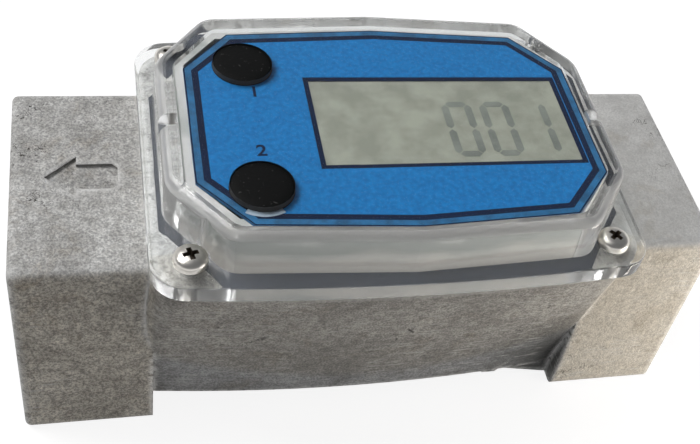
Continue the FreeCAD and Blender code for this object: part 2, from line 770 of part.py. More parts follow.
def make_screw_group(name, height_from, shank, head, centre_x=0.0):
    """Four equal pan-head screws at the corners of a rectangle, whose pitches are named after them."""
    body = head_body(name, height_from)
    pitches = name.rstrip("s")
    screw = pan_head_screw(body, *shank, *head, *rectangle_corners(pitches, centre_x)[0])
    pair = body.newObject("PartDesign::MultiTransform", "Corners")
    pair.Originals = [screw]
    along = body.newObject("PartDesign::LinearPattern", "AlongFlow")
    along.Direction = (origin_part(body, "X_Axis"), [""])
    across = body.newObject("PartDesign::LinearPattern", "AcrossFlow")
    across.Direction = (origin_part(body, "Y_Axis"), [""])
    for pattern, side in ((along, "x"), (across, "y")):
        pattern.Occurrences = 2
        bind(pattern, Length="Sizes.%s_pitch_%s" % (pitches, side))
    pair.Transformations = [along, across]
    body.Tip = pair
    doc.recompute()
    return body


def make_controller_chip():
    """The processor on the upper side of the board, below the display."""
    chip = doc.addObject("Part::Box", "controller_chip")
    chip.Label = "controller_chip"
    chip.Length, chip.Width, chip.Height = 9.0, 9.0, 1.2
    chip.Placement.Base = Vector(size("head_offset") + 4.0, -5.0, 0)
    bind(chip, Placement__Base__z="Sizes.board_height + Sizes.board_thickness")
    nodes.append(chip)
    return chip


def make_key_switches():
    """Two tactile switches on the board, one below each button."""
    body = new_body("key_switches")
    bind(body, Placement__Base__x="Sizes.button_x", Placement__Base__y="Sizes.button_lower_y",
         Placement__Base__z="Sizes.board_height + Sizes.board_thickness")
    half = size("switch_size") / 2
    case = new_sketch(body, "CaseOutline")
    add_box_outline(case, (-half, -half), (half, half))
    case_pad = pad(body, case, "Case", "Sizes.switch_height")
    knob = new_sketch(body, "KnobOutline", height_from="Sizes.switch_height")
    add_circle(knob, 1.1)
    knob_pad = pad(body, knob, "Knob", "0.45")
    repeat(body, [case_pad, knob_pad], "Pair", "Y_Axis", "Sizes.button_upper_y - Sizes.button_lower_y")
    return body


def make_button(name, y_alias):
    """Rubber cap with a stem that reaches down to its switch and a collar below the label."""
    body = new_body(name)
    bind(body, Placement__Base__x="Sizes.button_x", Placement__Base__y="Sizes." + y_alias,
         Placement__Base__z="Sizes.seat_height")
    cap = size("button_radius")
    top = size("flange_thickness") + size("dome_height") - 0.15
    profile = new_sketch(body, "Profile", "XZ_Plane")
    label_bottom = size("ceiling_height") - size("label_gap") - size("label_thickness")
    collar_low, collar_high = 6.8, label_bottom - size("seat_height") - 0.1
    add_crowned_profile(profile, 0.0, top, [
        (0.0, 5.8), (1.6, 5.8), (1.6, collar_low), (cap + 0.9, collar_low), (cap + 0.9, collar_high),
        (cap, collar_high), (cap, top - 0.35)])
    revolve(body, profile, "Button", "V_Axis")
    return body


def make_coin_cells():
    """Two button cells below the board, on either side of the pickup."""
    body = head_body("coin_cells", "Sizes.cell_height")
    profile = new_sketch(body, "Profile", "XZ_Plane")
    left, radius, height = -size("cell_pitch") / 2, size("cell_radius"), size("cell_thickness")
    profile.addGeometry(Part.LineSegment(Vector(left, 0, 0), Vector(left, height, 0)), True)
    points = [(0.0, 0.0), (radius - 1.1, 0.0), (radius - 0.9, 0.4), (radius - 0.3, 0.4), (radius, 0.7),
              (radius, height - 0.3), (radius - 0.3, height), (0.0, height)]
    add_loop(profile, [(left + x, z) for x, z in points])
    cell = revolve(body, profile, "Cell", "Axis0")
    repeat(body, [cell], "Pair", "X_Axis", "Sizes.cell_pitch")
    return body


def make_cell_clips():
    """Two sprung straps that carry the cells from the underside of the board."""
    body = head_body("cell_clips", "Sizes.cell_height - 0.3")
    strap = new_sketch(body, "StrapProfile", "YZ_Plane", height_from="-Sizes.cell_pitch / 2 - 2.5")
    top = size("board_height") - size("cell_height") + 0.3
    thickness = 0.3
    inner = size("cell_radius") + 0.7
    outer = inner + thickness
    add_loop(strap, [(-outer, 0.0), (outer, 0.0), (outer, top), (inner, top), (inner, thickness),
                     (-inner, thickness), (-inner, top), (-outer, top)])
    strap_pad = pad(body, strap, "Strap", "5")
    repeat(body, [strap_pad], "Pair", "X_Axis", "Sizes.cell_pitch")
    return body


def make_cell_contacts():
    """Two round contacts between the cells and the board."""
    body = head_body("cell_contacts", "Sizes.cell_height + Sizes.cell_thickness")
    outline = new_sketch(body, "Outlines")
    for side in (-1, 1):
        add_circle(outline, 3.0, side * size("cell_pitch") / 2)
    pad(body, outline, "Contacts", "Sizes.board_height - Sizes.cell_height - Sizes.cell_thickness")
    return body


make_body_casting()
make_support("outlet_support", -1)
make_support("inlet_support", 1)
make_rotor()
make_rotor_magnets()
make_rotor_shaft()
make_thrust_washers()
make_flow_sleeve()
make_retaining_rings()
make_pickup_bobbin()
make_pickup_winding()
make_pickup_core()
make_pickup_pins()
make_cover_gasket()
make_clear_cover()
make_face_label()
make_label_tray()
make_display_bezel()
make_display_glass()
make_contact_strips()
make_circuit_board()
make_controller_chip()
make_key_switches()
make_button("button_upper", "button_upper_y")
make_button("button_lower", "button_lower_y")
make_coin_cells()
make_cell_clips()
make_cell_contacts()
make_screw_group("cover_screws", "Sizes.seat_height + Sizes.flange_thickness",
                 shank=(size("cover_screw_radius"), 7.5), head=(size("cover_screw_head_radius"), 1.75))
make_screw_group("board_screws", "Sizes.board_height + Sizes.board_thickness",
                 shank=(size("board_screw_radius"), 5.5), head=(1.7, 1.2),
                 centre_x=size("board_screw_offset"))

doc.recompute()
for item in doc.Objects:
    if "Invalid" in item.State or "Error" in item.State:
        raise ValueError("%s failed: %s" % (item.Label, item.State))
for node in nodes:
    if node.Shape.isNull() or not node.Shape.isValid():
        raise ValueError("%s has no valid shape" % node.Label)
    node.Shape.exportStep("parts/%s.step" % node.Label)
    print("%-18s solids %d  volume %9.1f mm3" % (node.Label, len(node.Shape.Solids), node.Shape.Volume))
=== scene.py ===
"""Turbine flow meter: the finish of every piece, and the small parts that the solids leave out.

The sections follow the meter as it is put together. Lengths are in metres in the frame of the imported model:
+X towards the inlet port, +Z up through the display.
"""
import math
import bmesh
import bpy
from mathutils import Matrix, Vector


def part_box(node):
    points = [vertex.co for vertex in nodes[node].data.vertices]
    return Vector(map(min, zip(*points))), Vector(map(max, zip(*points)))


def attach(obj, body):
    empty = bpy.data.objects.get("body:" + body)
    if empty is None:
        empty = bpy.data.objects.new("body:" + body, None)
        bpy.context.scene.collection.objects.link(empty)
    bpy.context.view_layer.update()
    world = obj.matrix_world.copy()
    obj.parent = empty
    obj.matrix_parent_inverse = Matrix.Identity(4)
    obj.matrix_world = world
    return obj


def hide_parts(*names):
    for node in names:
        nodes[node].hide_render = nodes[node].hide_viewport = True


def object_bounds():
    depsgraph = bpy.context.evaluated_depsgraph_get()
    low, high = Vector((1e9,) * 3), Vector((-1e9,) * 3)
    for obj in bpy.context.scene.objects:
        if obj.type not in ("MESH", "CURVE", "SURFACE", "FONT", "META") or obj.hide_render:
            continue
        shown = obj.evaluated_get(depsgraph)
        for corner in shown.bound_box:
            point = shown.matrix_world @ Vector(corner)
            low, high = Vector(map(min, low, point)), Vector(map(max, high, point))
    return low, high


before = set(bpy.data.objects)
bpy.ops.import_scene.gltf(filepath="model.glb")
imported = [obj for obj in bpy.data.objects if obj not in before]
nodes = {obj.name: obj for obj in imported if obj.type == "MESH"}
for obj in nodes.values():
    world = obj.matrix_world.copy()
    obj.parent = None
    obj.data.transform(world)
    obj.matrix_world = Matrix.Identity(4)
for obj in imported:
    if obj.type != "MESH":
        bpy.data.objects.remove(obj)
solid_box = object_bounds()
bpy.context.scene.view_settings.view_transform = "Standard"

# ------------------------------------------------------------------------------------------------
# Camera. It stands over the front left corner of the meter, tilted, with a short lens.
# ------------------------------------------------------------------------------------------------
CAMERA_PLACE = Vector((-0.0410, -0.1223, 0.1592))
CAMERA_AROUND = math.radians(-24.1)
CAMERA_HEIGHT = math.radians(45.25)
CAMERA_ROLL = math.radians(15.45)
CAMERA_LENS = 57.5
CAMERA_SHIFT = -0.1286

back = Vector((math.sin(CAMERA_AROUND) * math.cos(CAMERA_HEIGHT),
               -math.cos(CAMERA_AROUND) * math.cos(CAMERA_HEIGHT), math.sin(CAMERA_HEIGHT)))
right = (-back).cross(Vector((0, 0, 1))).normalized()
up = right.cross(-back)
facing = Matrix((right, up, back)).transposed()
lens = bpy.data.cameras.new("camera")
lens.sensor_width = 36
lens.lens = CAMERA_LENS
lens.shift_x = CAMERA_SHIFT
lens.clip_start = 0.01
camera = bpy.data.objects.new("camera", lens)
tilted = Matrix.Rotation(CAMERA_ROLL, 3, back) @ facing
camera.matrix_world = Matrix.Translation(CAMERA_PLACE) @ tilted.to_4x4()
bpy.context.collection.objects.link(camera)
bpy.context.scene.camera = camera


# ------------------------------------------------------------------------------------------------
# Floor and light. White paper under one large window of light from above and behind, with a small warm
# card of light at the inlet's front corner. The room is pale near the floor and darker overhead.
# ------------------------------------------------------------------------------------------------
def link(tree, source, target):
    tree.links.new(source, target)


def ramp(tree, factor, low, high, low_colour=(0, 0, 0), high_colour=(1, 1, 1)):
    """Maps a stretch of a factor to two colours."""
    steps = tree.nodes.new("ShaderNodeValToRGB")
    steps.color_ramp.elements[0].position = low
    steps.color_ramp.elements[0].color = (*low_colour, 1)
    steps.color_ramp.elements[1].position = high
    steps.color_ramp.elements[1].color = (*high_colour, 1)
    link(tree, factor, steps.inputs[0])
    return steps.outputs[0]


def new_material(name):
    """An empty material with its output node."""
    material = bpy.data.materials.new(name)
    material.use_nodes = True
    material.node_tree.nodes.clear()
    output = material.node_tree.nodes.new("ShaderNodeOutputMaterial")
    return material, material.node_tree, output


def calculate(tree, operation, first, second):
    """A Math node. Each input is a socket or a number."""
    node = tree.nodes.new("ShaderNodeMath")
    node.operation = operation
    for socket, value in zip(node.inputs, (first, second)):
        if isinstance(value, bpy.types.NodeSocket):
            link(tree, value, socket)
        else:
            socket.default_value = value
    return node.outputs[0]


def white_paper():
    """Mid grey to the lamps, and lit up white to the camera, the metal and the clear cover."""
    material, tree, output = new_material("white_paper")
    paper = tree.nodes.new("ShaderNodeBsdfDiffuse")
    paper.inputs["Color"].default_value = (0.30, 0.30, 0.30, 1)
    glow = tree.nodes.new("ShaderNodeEmission")
    glow.inputs["Strength"].default_value = 0.86
    path = tree.nodes.new("ShaderNodeLightPath")
    by_shine = calculate(tree, "MAXIMUM", path.outputs["Is Glossy Ray"], path.outputs["Is Transmission Ray"])
    seen = calculate(tree, "MAXIMUM", path.outputs["Is Camera Ray"], by_shine)
    both = tree.nodes.new("ShaderNodeAddShader")
    link(tree, paper.outputs[0], both.inputs[0])
    link(tree, glow.outputs[0], both.inputs[1])
    lift = tree.nodes.new("ShaderNodeMixShader")
    link(tree, seen, lift.inputs[0])
    link(tree, paper.outputs[0], lift.inputs[1])
    link(tree, both.outputs[0], lift.inputs[2])
    link(tree, lift.outputs[0], output.inputs["Surface"])
    return material


paper_mesh = bmesh.new()
bmesh.ops.create_grid(paper_mesh, x_segments=1, y_segments=1, size=3.0)
mesh = bpy.data.meshes.new("floor")
paper_mesh.to_mesh(mesh)
paper_mesh.free()
mesh.materials.append(white_paper())
floor = bpy.data.objects.new("floor", mesh)
bpy.context.collection.objects.link(floor)

world = bpy.data.worlds.new("room")
bpy.context.scene.world = world
world.use_nodes = True
tree = world.node_tree
tree.nodes.clear()
room = tree.nodes.new("ShaderNodeBackground")
height = tree.nodes.new("ShaderNodeSeparateXYZ")
link(tree, tree.nodes.new("ShaderNodeTexCoord").outputs["Generated"], height.inputs[0])
overhead = ramp(tree, height.outputs["Z"], 0.10, 0.26, (1.0, 1.0, 1.0), (0.17, 0.175, 0.185))
link(tree, overhead, room.inputs["Color"])
link(tree, room.outputs[0], tree.nodes.new("ShaderNodeOutputWorld").inputs["Surface"])


def add_light(name, place, target, width, height, power, colour):
    """A rectangular lamp that faces the target. The camera doesn't see it."""
    lamp = bpy.data.lights.new(name, "AREA")
    lamp.shape = "RECTANGLE"
    lamp.size = width
    lamp.size_y = height
    lamp.energy = power
    lamp.color = colour
    holder = bpy.data.objects.new(name, lamp)
    holder.location = place
    holder.rotation_euler = (Vector(target) - Vector(place)).to_track_quat("-Z", "Y").to_euler()
    holder.visible_camera = False
    bpy.context.collection.objects.link(holder)


add_light("window", (-0.42, 0.30, 0.80), (0, 0, 0.02), 0.60, 0.45, 5.6, (1.0, 0.99, 0.98))
add_light("card", (0.102, -0.062, 0.014), (0.045, -0.018, 0.016), 0.05, 0.03, 0.062, (1.0, 0.94, 0.86))


# ------------------------------------------------------------------------------------------------
# Cast body. Aluminium poured in a die and blasted with grit: a grainy grey skin with pits, fine cracks,
# brown stains from handling and edges worn bright, with painted light on the tops, the inlet front and the
# edges, and painted shade on the other fronts, between the blocks and in the flow arrow.
# ------------------------------------------------------------------------------------------------
def paint(node, material):
    """Gives a node of the frame its finish."""
    piece = nodes[node]
    piece.data.materials.clear()
    piece.data.materials.append(material)


def noise(tree, place, scale, detail=4.0, roughness=0.55, distortion=0.0):
    field = tree.nodes.new("ShaderNodeTexNoise")
    field.inputs["Scale"].default_value = scale
    field.inputs["Detail"].default_value = detail
    field.inputs["Roughness"].default_value = roughness
    field.inputs["Distortion"].default_value = distortion
    link(tree, place, field.inputs["Vector"])
    return field.outputs[0]


def mix(tree, factor, first, second, blend="MIX"):
    """Blends two colours. Each may be a socket or a plain colour, and the factor a number or a socket."""
    node = tree.nodes.new("ShaderNodeMix")
    node.data_type = "RGBA"
    node.blend_type = blend
    for socket, value in ((node.inputs[0], factor), (node.inputs[6], first), (node.inputs[7], second)):
        if isinstance(value, bpy.types.NodeSocket):
            link(tree, value, socket)
        elif isinstance(value, (int, float)):
            socket.default_value = value
        else:
            socket.default_value = (*value, 1)
    return node.outputs[2]


def bump(tree, height, distance, strength=1.0, normal=None):
    node = tree.nodes.new("ShaderNodeBump")
    node.inputs["Strength"].default_value = strength
    node.inputs["Distance"].default_value = distance
    link(tree, height, node.inputs["Height"])
    if normal:
        link(tree, normal, node.inputs["Normal"])
    return node.outputs[0]


def object_place(tree):
    return tree.nodes.new("ShaderNodeTexCoord").outputs["Object"]


def stretched(tree, place, scale, turn=(0, 0, 0)):
    mapping = tree.nodes.new("ShaderNodeMapping")
    mapping.inputs["Scale"].default_value = scale
    mapping.inputs["Rotation"].default_value = turn
    link(tree, place, mapping.inputs["Vector"])
    return mapping.outputs[0]


def principled(tree, output, **values):
    """The shader node of a finish. A word with an underscore names the socket with a space."""
    shader = tree.nodes.new("ShaderNodeBsdfPrincipled")
    for name, value in values.items():
        socket = shader.inputs[name.replace("_", " ")]
        if isinstance(value, bpy.types.NodeSocket):
            link(tree, value, socket)
        elif isinstance(value, tuple):
            socket.default_value = (*value, 1)
        else:
            socket.default_value = value
    link(tree, shader.outputs[0], output.inputs["Surface"])
    return shader


def soft_edges(tree, radius):
    """The normal of rounded edges, and how much an edge turns it: 0 on flat skin."""
    rounded = tree.nodes.new("ShaderNodeBevel")
    rounded.samples = 4
    rounded.inputs["Radius"].default_value = radius
    match = tree.nodes.new("ShaderNodeVectorMath")
    match.operation = "DOT_PRODUCT"
    link(tree, rounded.outputs[0], match.inputs[0])
    link(tree, tree.nodes.new("ShaderNodeNewGeometry").outputs["True Normal"], match.inputs[1])
    return rounded.outputs[0], calculate(tree, "SUBTRACT", 1.0, match.outputs["Value"])


def share_of(tree, socket, start, end):
    """How far a coordinate has gone from start to end, held between 0 and 1."""
    node = tree.nodes.new("ShaderNodeMapRange")
    node.inputs["From Min"].default_value = start
    node.inputs["From Max"].default_value = end
    link(tree, socket, node.inputs["Value"])
    return node.outputs[0]


def cast_aluminium():
    material, tree, output = new_material("cast_aluminium")
    place = object_place(tree)
    across = tree.nodes.new("ShaderNodeSeparateXYZ")
    link(tree, place, across.inputs[0])
    x, y, z = across.outputs["X"], across.outputs["Y"], across.outputs["Z"]
    grain = noise(tree, place, 2900, 3.0, 0.75)
    grit = noise(tree, place, 640, 4.0, 0.7)
    cloud = noise(tree, place, 62, 4.0, 0.6, 0.6)
    inlet = share_of(tree, x, 0.030, 0.036)
    front = share_of(tree, y, -0.0181, -0.0187)
    between = calculate(tree, "SUBTRACT", share_of(tree, x, -0.0350, -0.0345),
                        share_of(tree, x, 0.0345, 0.0350))

    # Bare skin: cloudy grey with brown stains. The front of the inlet block is warmer and lighter, partly a
    # handling stain and partly painted light from the warm card lamp.
    colour = mix(tree, ramp(tree, cloud, 0.36, 0.64), (0.62, 0.61, 0.585), (0.95, 0.945, 0.92))
    stain_and_warm_light = mix(tree, noise(tree, place, 110, 5.0, 0.7, 0.8), (0.70, 0.60, 0.45), (0.98, 0.92, 0.80))
    inlet_front_stain_and_light = calculate(tree, "MULTIPLY", inlet, calculate(tree, "MULTIPLY", front, 0.75))
    colour = mix(tree, inlet_front_stain_and_light, colour, stain_and_warm_light)
    stain = ramp(tree, noise(tree, place, 88, 6.0, 0.72, 1.4), 0.55, 0.68)
    colour = mix(tree, mix(tree, 0.5, (0, 0, 0), stain), colour, (0.40, 0.33, 0.24))
    # The other fronts are darker and browner: painted shade with some brown stain.
    front_shade_and_stain = calculate(tree, "MULTIPLY", calculate(tree, "SUBTRACT", front, inlet), 0.8)
    colour = mix(tree, front_shade_and_stain, colour, (0.86, 0.80, 0.70), "MULTIPLY")

    # Grain of the mould and the grit, weaker on the rubbed inlet block.
    rubbed = mix(tree, 0.55, (0, 0, 0), inlet)
    fine = ramp(tree, grain, 0.40, 0.60, (0.40, 0.40, 0.41), (1, 1, 1))
    fine = mix(tree, rubbed, fine, (0.74, 0.74, 0.74))
    coarse = ramp(tree, grit, 0.36, 0.60, (0.62, 0.61, 0.60), (1, 1, 1))
    coarse = mix(tree, rubbed, coarse, (0.86, 0.86, 0.86))
    colour = mix(tree, 1.0, mix(tree, 1.0, colour, fine, "MULTIPLY"), coarse, "MULTIPLY")

    # Painted shade between the blocks, deeper towards the bottom, and a deep painted shadow
    # under the web of the inlet.
    colour = mix(tree, between, colour, (0.70, 0.71, 0.73), "MULTIPLY")
    low = calculate(tree, "MULTIPLY", between, share_of(tree, z, 0.026, 0.008))
    colour = mix(tree, low, colour, (0.66, 0.66, 0.66), "MULTIPLY")
    # Painted shadow under the web of the inlet.
    corner = calculate(tree, "MULTIPLY", low, share_of(tree, x, 0.014, 0.030))
    colour = mix(tree, corner, colour, (0.16, 0.16, 0.15), "MULTIPLY")

    # The tops are painted lighter, as painted light from above, that of the inlet block most of all.
    top = share_of(tree, z, 0.0362, 0.0367)
    colour = mix(tree, calculate(tree, "MULTIPLY", top, 0.12), colour, (0.97, 0.965, 0.95))
    colour = mix(tree, calculate(tree, "MULTIPLY", calculate(tree, "MULTIPLY", top, inlet), 0.20), colour,
                 (0.99, 0.985, 0.96))

    # Scratches, cracks and pits.
    scratch = noise(tree, stretched(tree, place, (190, 400, 2600), (0, math.radians(-38), 0)), 1.0, 2.0, 0.5)
    scratch = mix(tree, 1.0, ramp(tree, scratch, 0.60, 0.65), ramp(tree, cloud, 0.46, 0.56), "MULTIPLY")
    colour = mix(tree, mix(tree, 0.5, (0, 0, 0), scratch), colour, (0.55, 0.54, 0.52))
    cells = tree.nodes.new("ShaderNodeTexVoronoi")
    cells.feature = "DISTANCE_TO_EDGE"
    cells.inputs["Scale"].default_value = 58
    link(tree, mix(tree, 0.06, place, noise(tree, place, 240, 3.0), "ADD"), cells.inputs["Vector"])
    crack = ramp(tree, cells.outputs["Distance"], 0.004, 0.012, (1, 1, 1), (0, 0, 0))
    crack = mix(tree, 1.0, crack, ramp(tree, noise(tree, place, 70, 2.0), 0.60, 0.64), "MULTIPLY")
    colour = mix(tree, crack, colour, (0.035, 0.03, 0.025))
    pits = tree.nodes.new("ShaderNodeTexVoronoi")
    pits.inputs["Scale"].default_value = 430
    link(tree, place, pits.inputs["Vector"])
    holes = ramp(tree, pits.outputs["Distance"], 0.06, 0.24)

    # Edges made bright: partly wear, partly a painted highlight on the rounded edges.
    normal, edge = soft_edges(tree, 0.0016)
    wear_and_highlight = mix(tree, 1.0, ramp(tree, edge, 0.015, 0.09), ramp(tree, grit, 0.36, 0.50), "MULTIPLY")
    colour = mix(tree, mix(tree, 0.85, (0, 0, 0), wear_and_highlight), colour, (0.97, 0.965, 0.95))

    # The sunk flow arrow: painted shade on its walls, a painted highlight on its rim.
    mark = calculate(tree, "MULTIPLY", share_of(tree, x, -0.0520, -0.0515),
                     share_of(tree, x, -0.0355, -0.0360))
    mark = calculate(tree, "MULTIPLY", mark, share_of(tree, y, -0.0100, -0.0095))
    mark = calculate(tree, "MULTIPLY", mark, share_of(tree, y, 0.0100, 0.0095))
    mark = calculate(tree, "MULTIPLY", mark, top)
    deep = calculate(tree, "MULTIPLY", mark, share_of(tree, z, 0.03695, 0.03685))
    arrow_wall_shade = mix(tree, deep, (0, 0, 0), ramp(tree, edge, 0.03, 0.14))
    colour = mix(tree, mix(tree, 0.8, (0, 0, 0), arrow_wall_shade), colour, (0.17, 0.16, 0.145))
    arrow_rim_highlight = mix(tree, calculate(tree, "SUBTRACT", mark, deep), (0, 0, 0), ramp(tree, edge, 0.02, 0.10))
    colour = mix(tree, mix(tree, 0.8, (0, 0, 0), arrow_rim_highlight), colour, (1.0, 0.995, 0.98))

    normal = bump(tree, noise(tree, place, 170, 3.0), 0.0005, 0.5, normal)
    normal = bump(tree, crack, 0.0003, -1.0, normal)
    normal = bump(tree, mix(tree, 1.0, grain, holes, "MULTIPLY"), 0.00016, 1.0, normal)
    principled(tree, output, Base_Color=colour, Metallic=0.10, Roughness=0.55, Specular_IOR_Level=0.25,
               Normal=normal)
    return material


aluminium = cast_aluminium()
paint("body_casting", aluminium)


def to_piece(name, shape, body, *materials):
    """Makes a bmesh a smooth-shaded piece that keeps its sharp edges, and rides it on a body."""
    bmesh.ops.remove_doubles(shape, verts=shape.verts[:], dist=1e-7)
    bmesh.ops.recalc_face_normals(shape, faces=shape.faces[:])
    for face in shape.faces:
        face.smooth = True
    for edge in shape.edges:
        edge.smooth = edge.calc_face_angle(math.pi) < math.radians(32)
    mesh = bpy.data.meshes.new(name)
    shape.to_mesh(mesh)
    shape.free()
    for material in materials:
        mesh.materials.append(material)
    piece = bpy.data.objects.new(name, mesh)
    bpy.context.collection.objects.link(piece)
    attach(piece, body)
    return piece


# ------------------------------------------------------------------------------------------------
# Pipe threads of the two ports, 11.5 turns to the inch. A ridge is cut into each wall, and here it is
# a strip with a pointed section that winds in from the mouth.
# ------------------------------------------------------------------------------------------------
MM = 0.001
THREAD_PITCH = 25.4 / 11.5 * MM
THREAD_TURNS = 6.4
THREAD_STEPS = 56
THREAD_ROOT = 16.36 * MM
THREAD_CREST = 15.45 * MM
PORT_AXIS = Vector((0, 0, 18.5 * MM))

for end, word in ((1, "inlet"), (-1, "outlet")):
    thread = bmesh.new()
    start = end * (solid_box[1][0] - 1.8 * MM)
    half = 0.46 * THREAD_PITCH
    section = [thread.verts.new((start + x, 0, PORT_AXIS.z + radius))
               for x, radius in ((-half, THREAD_ROOT), (-0.05 * MM, THREAD_CREST), (0.05 * MM, THREAD_CREST),
                                 (half, THREAD_ROOT))]
    bmesh.ops.spin(thread, geom=[thread.faces.new(section)], cent=PORT_AXIS, axis=(1, 0, 0),
                   dvec=(-end * THREAD_PITCH / THREAD_STEPS, 0, 0), angle=2 * math.pi * THREAD_TURNS,
                   steps=int(THREAD_TURNS * THREAD_STEPS), use_merge=False, use_duplicate=False)
    to_piece(word + "_thread", thread, "meter_body", aluminium)


def plain_finish(name, colour, roughness, metallic=0.0, spread=0.12, grain=900.0, depth=0.00003,
                 specular=0.5):
    """A turned, moulded or plated surface with a little cloudiness and grain."""
    material, tree, output = new_material(name)
    place = object_place(tree)
    dark = tuple(part * (1 - spread) for part in colour)
    light = tuple(min(1.0, part * (1 + spread)) for part in colour)
    cloud = noise(tree, place, grain / 6, 3.0)
    fine = noise(tree, place, grain, 3.0)
    base = mix(tree, ramp(tree, cloud, 0.35, 0.65), dark, light)
    rough = tree.nodes.new("ShaderNodeMapRange")
    rough.inputs["To Min"].default_value = roughness * 0.8
    rough.inputs["To Max"].default_value = roughness * 1.2
    link(tree, fine, rough.inputs["Value"])
    principled(tree, output, Base_Color=base, Metallic=metallic, Roughness=rough.outputs[0],
               Specular_IOR_Level=specular, Normal=bump(tree, fine, depth, 0.5))
    return material


# ------------------------------------------------------------------------------------------------
# Turbine in the bore. The rotor, its supports and the sleeve are moulded in a pale plastic. The shaft is
# hard metal, the thrust washers are ceramic, and two steel snap rings hold the set in the bore.
# ------------------------------------------------------------------------------------------------
support_plastic = plain_finish("support_plastic", (0.78, 0.77, 0.72), 0.45)
for node in ("inlet_support", "outlet_support", "flow_sleeve"):
    paint(node, support_plastic)
paint("rotor", plain_finish("rotor_plastic", (0.70, 0.71, 0.70), 0.38))
paint("rotor_magnets", plain_finish("magnet_nickel", (0.72, 0.71, 0.68), 0.3, 1.0))
paint("rotor_shaft", plain_finish("hard_metal", (0.30, 0.31, 0.33), 0.25, 1.0))
paint("thrust_washers", plain_finish("ceramic", (0.90, 0.89, 0.84), 0.35))
spring_steel = plain_finish("spring_steel", (0.55, 0.55, 0.55), 0.32, 1.0)
paint("retaining_rings", spring_steel)

# ------------------------------------------------------------------------------------------------
# Pickup and electronics below the display: a coil on its bobbin, the board with its chip, switches and
# cells. The pale tray stands round them and hides them behind the walls of the cover.
# ------------------------------------------------------------------------------------------------
paint("pickup_bobbin", plain_finish("bobbin_plastic", (0.06, 0.06, 0.065), 0.5))
paint("pickup_winding", plain_finish("enamelled_copper", (0.55, 0.22, 0.09), 0.3, 0.9))
paint("pickup_core", plain_finish("iron", (0.28, 0.27, 0.26), 0.5, 0.9))
tinned_brass = plain_finish("tinned_brass", (0.70, 0.67, 0.58), 0.3, 1.0)
paint("pickup_pins", tinned_brass)
paint("cell_contacts", tinned_brass)
paint("circuit_board", plain_finish("board_green", (0.03, 0.17, 0.08), 0.4))
paint("controller_chip", plain_finish("chip_black", (0.03, 0.03, 0.03), 0.45))
paint("key_switches", plain_finish("switch_steel", (0.60, 0.60, 0.58), 0.3, 0.9))
paint("contact_strips", plain_finish("strip_rubber", (0.60, 0.35, 0.38), 0.6))
paint("coin_cells", plain_finish("cell_steel", (0.68, 0.67, 0.64), 0.22, 1.0))
paint("cell_clips", spring_steel)
paint("board_screws", spring_steel)
gasket_rubber = plain_finish("gasket_rubber", (0.02, 0.027, 0.045), 0.7)
paint("cover_gasket", gasket_rubber)


def tray_plastic():
    """Pale moulding, darker and greenish where the board stands behind its upper half."""
    material, tree, output = new_material("tray_plastic")
    place = object_place(tree)
    upright = tree.nodes.new("ShaderNodeSeparateXYZ")
    link(tree, place, upright.inputs[0])
    low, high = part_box("label_tray")
    share = tree.nodes.new("ShaderNodeMapRange")
    share.inputs["From Min"].default_value = low.z
    share.inputs["From Max"].default_value = high.z
    link(tree, upright.outputs["Z"], share.inputs["Value"])
    cloud = noise(tree, stretched(tree, place, (75, 75, 160)), 1.0, 3.0, 0.55, 0.8)
    drift = calculate(tree, "MULTIPLY", calculate(tree, "SUBTRACT", cloud, 0.5), 0.7)
    level = calculate(tree, "ADD", share.outputs[0], drift)
    colour = mix(tree, ramp(tree, level, 0.25, 0.62), (0.62, 0.58, 0.53), (0.24, 0.27, 0.25))
    colour = mix(tree, ramp(tree, level, 0.80, 1.0), colour, (0.60, 0.59, 0.58))
    principled(tree, output, Base_Color=colour, Roughness=0.5,
               Normal=bump(tree, noise(tree, place, 500), 0.00003))
    return material


paint("label_tray", tray_plastic())

# ------------------------------------------------------------------------------------------------
# Display: grey green glass in a near black frame, and three figures on its face.
# Each figure has seven bars, and only those that it needs are made.
# ------------------------------------------------------------------------------------------------
paint("display_bezel", plain_finish("bezel_black", (0.010, 0.013, 0.024), 0.4))
display_glass = plain_finish("display_glass", (0.275, 0.285, 0.235), 0.5, 0.0, 0.16, 1600.0, 0.0)
paint("display_glass", display_glass)

FIGURE_WIDTH = 3.7 * MM
FIGURE_HEIGHT = 11.0 * MM
FIGURE_PITCH = 6.2 * MM
FIGURE_BAR = 1.2 * MM
FIGURE_GAP = 0.12 * MM
SHOWN_BARS = {"0": "top upper_left upper_right lower_left lower_right bottom", "1": "upper_right lower_right"}
glass_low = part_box("display_glass")[0]
FILM_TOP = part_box("display_bezel")[1].z + 0.25 * MM


def draw_up(shape, faces, height):
    """Extrudes faces straight up."""
    drawn = bmesh.ops.extrude_face_region(shape, geom=faces)["geom"]
    bmesh.ops.translate(shape, vec=(0, 0, height),
                        verts=[part for part in drawn if isinstance(part, bmesh.types.BMVert)])


def add_bar(shape, middle, length, upright):
    """A thin bar with pointed ends on the face of the display."""
    bar = bmesh.ops.create_grid(shape, x_segments=2, y_segments=2, size=0.5)["verts"]
    turn = Matrix.Rotation(math.pi / 2 if upright else 0.0, 4, "Z")
    bmesh.ops.scale(shape, vec=(length - FIGURE_BAR, FIGURE_BAR, 1), verts=bar)
    for vert in bar:
        if abs(vert.co.y) < 1e-9:
            vert.co.x *= length / (length - FIGURE_BAR)
    bmesh.ops.transform(shape, matrix=Matrix.Translation(middle) @ turn, verts=bar)


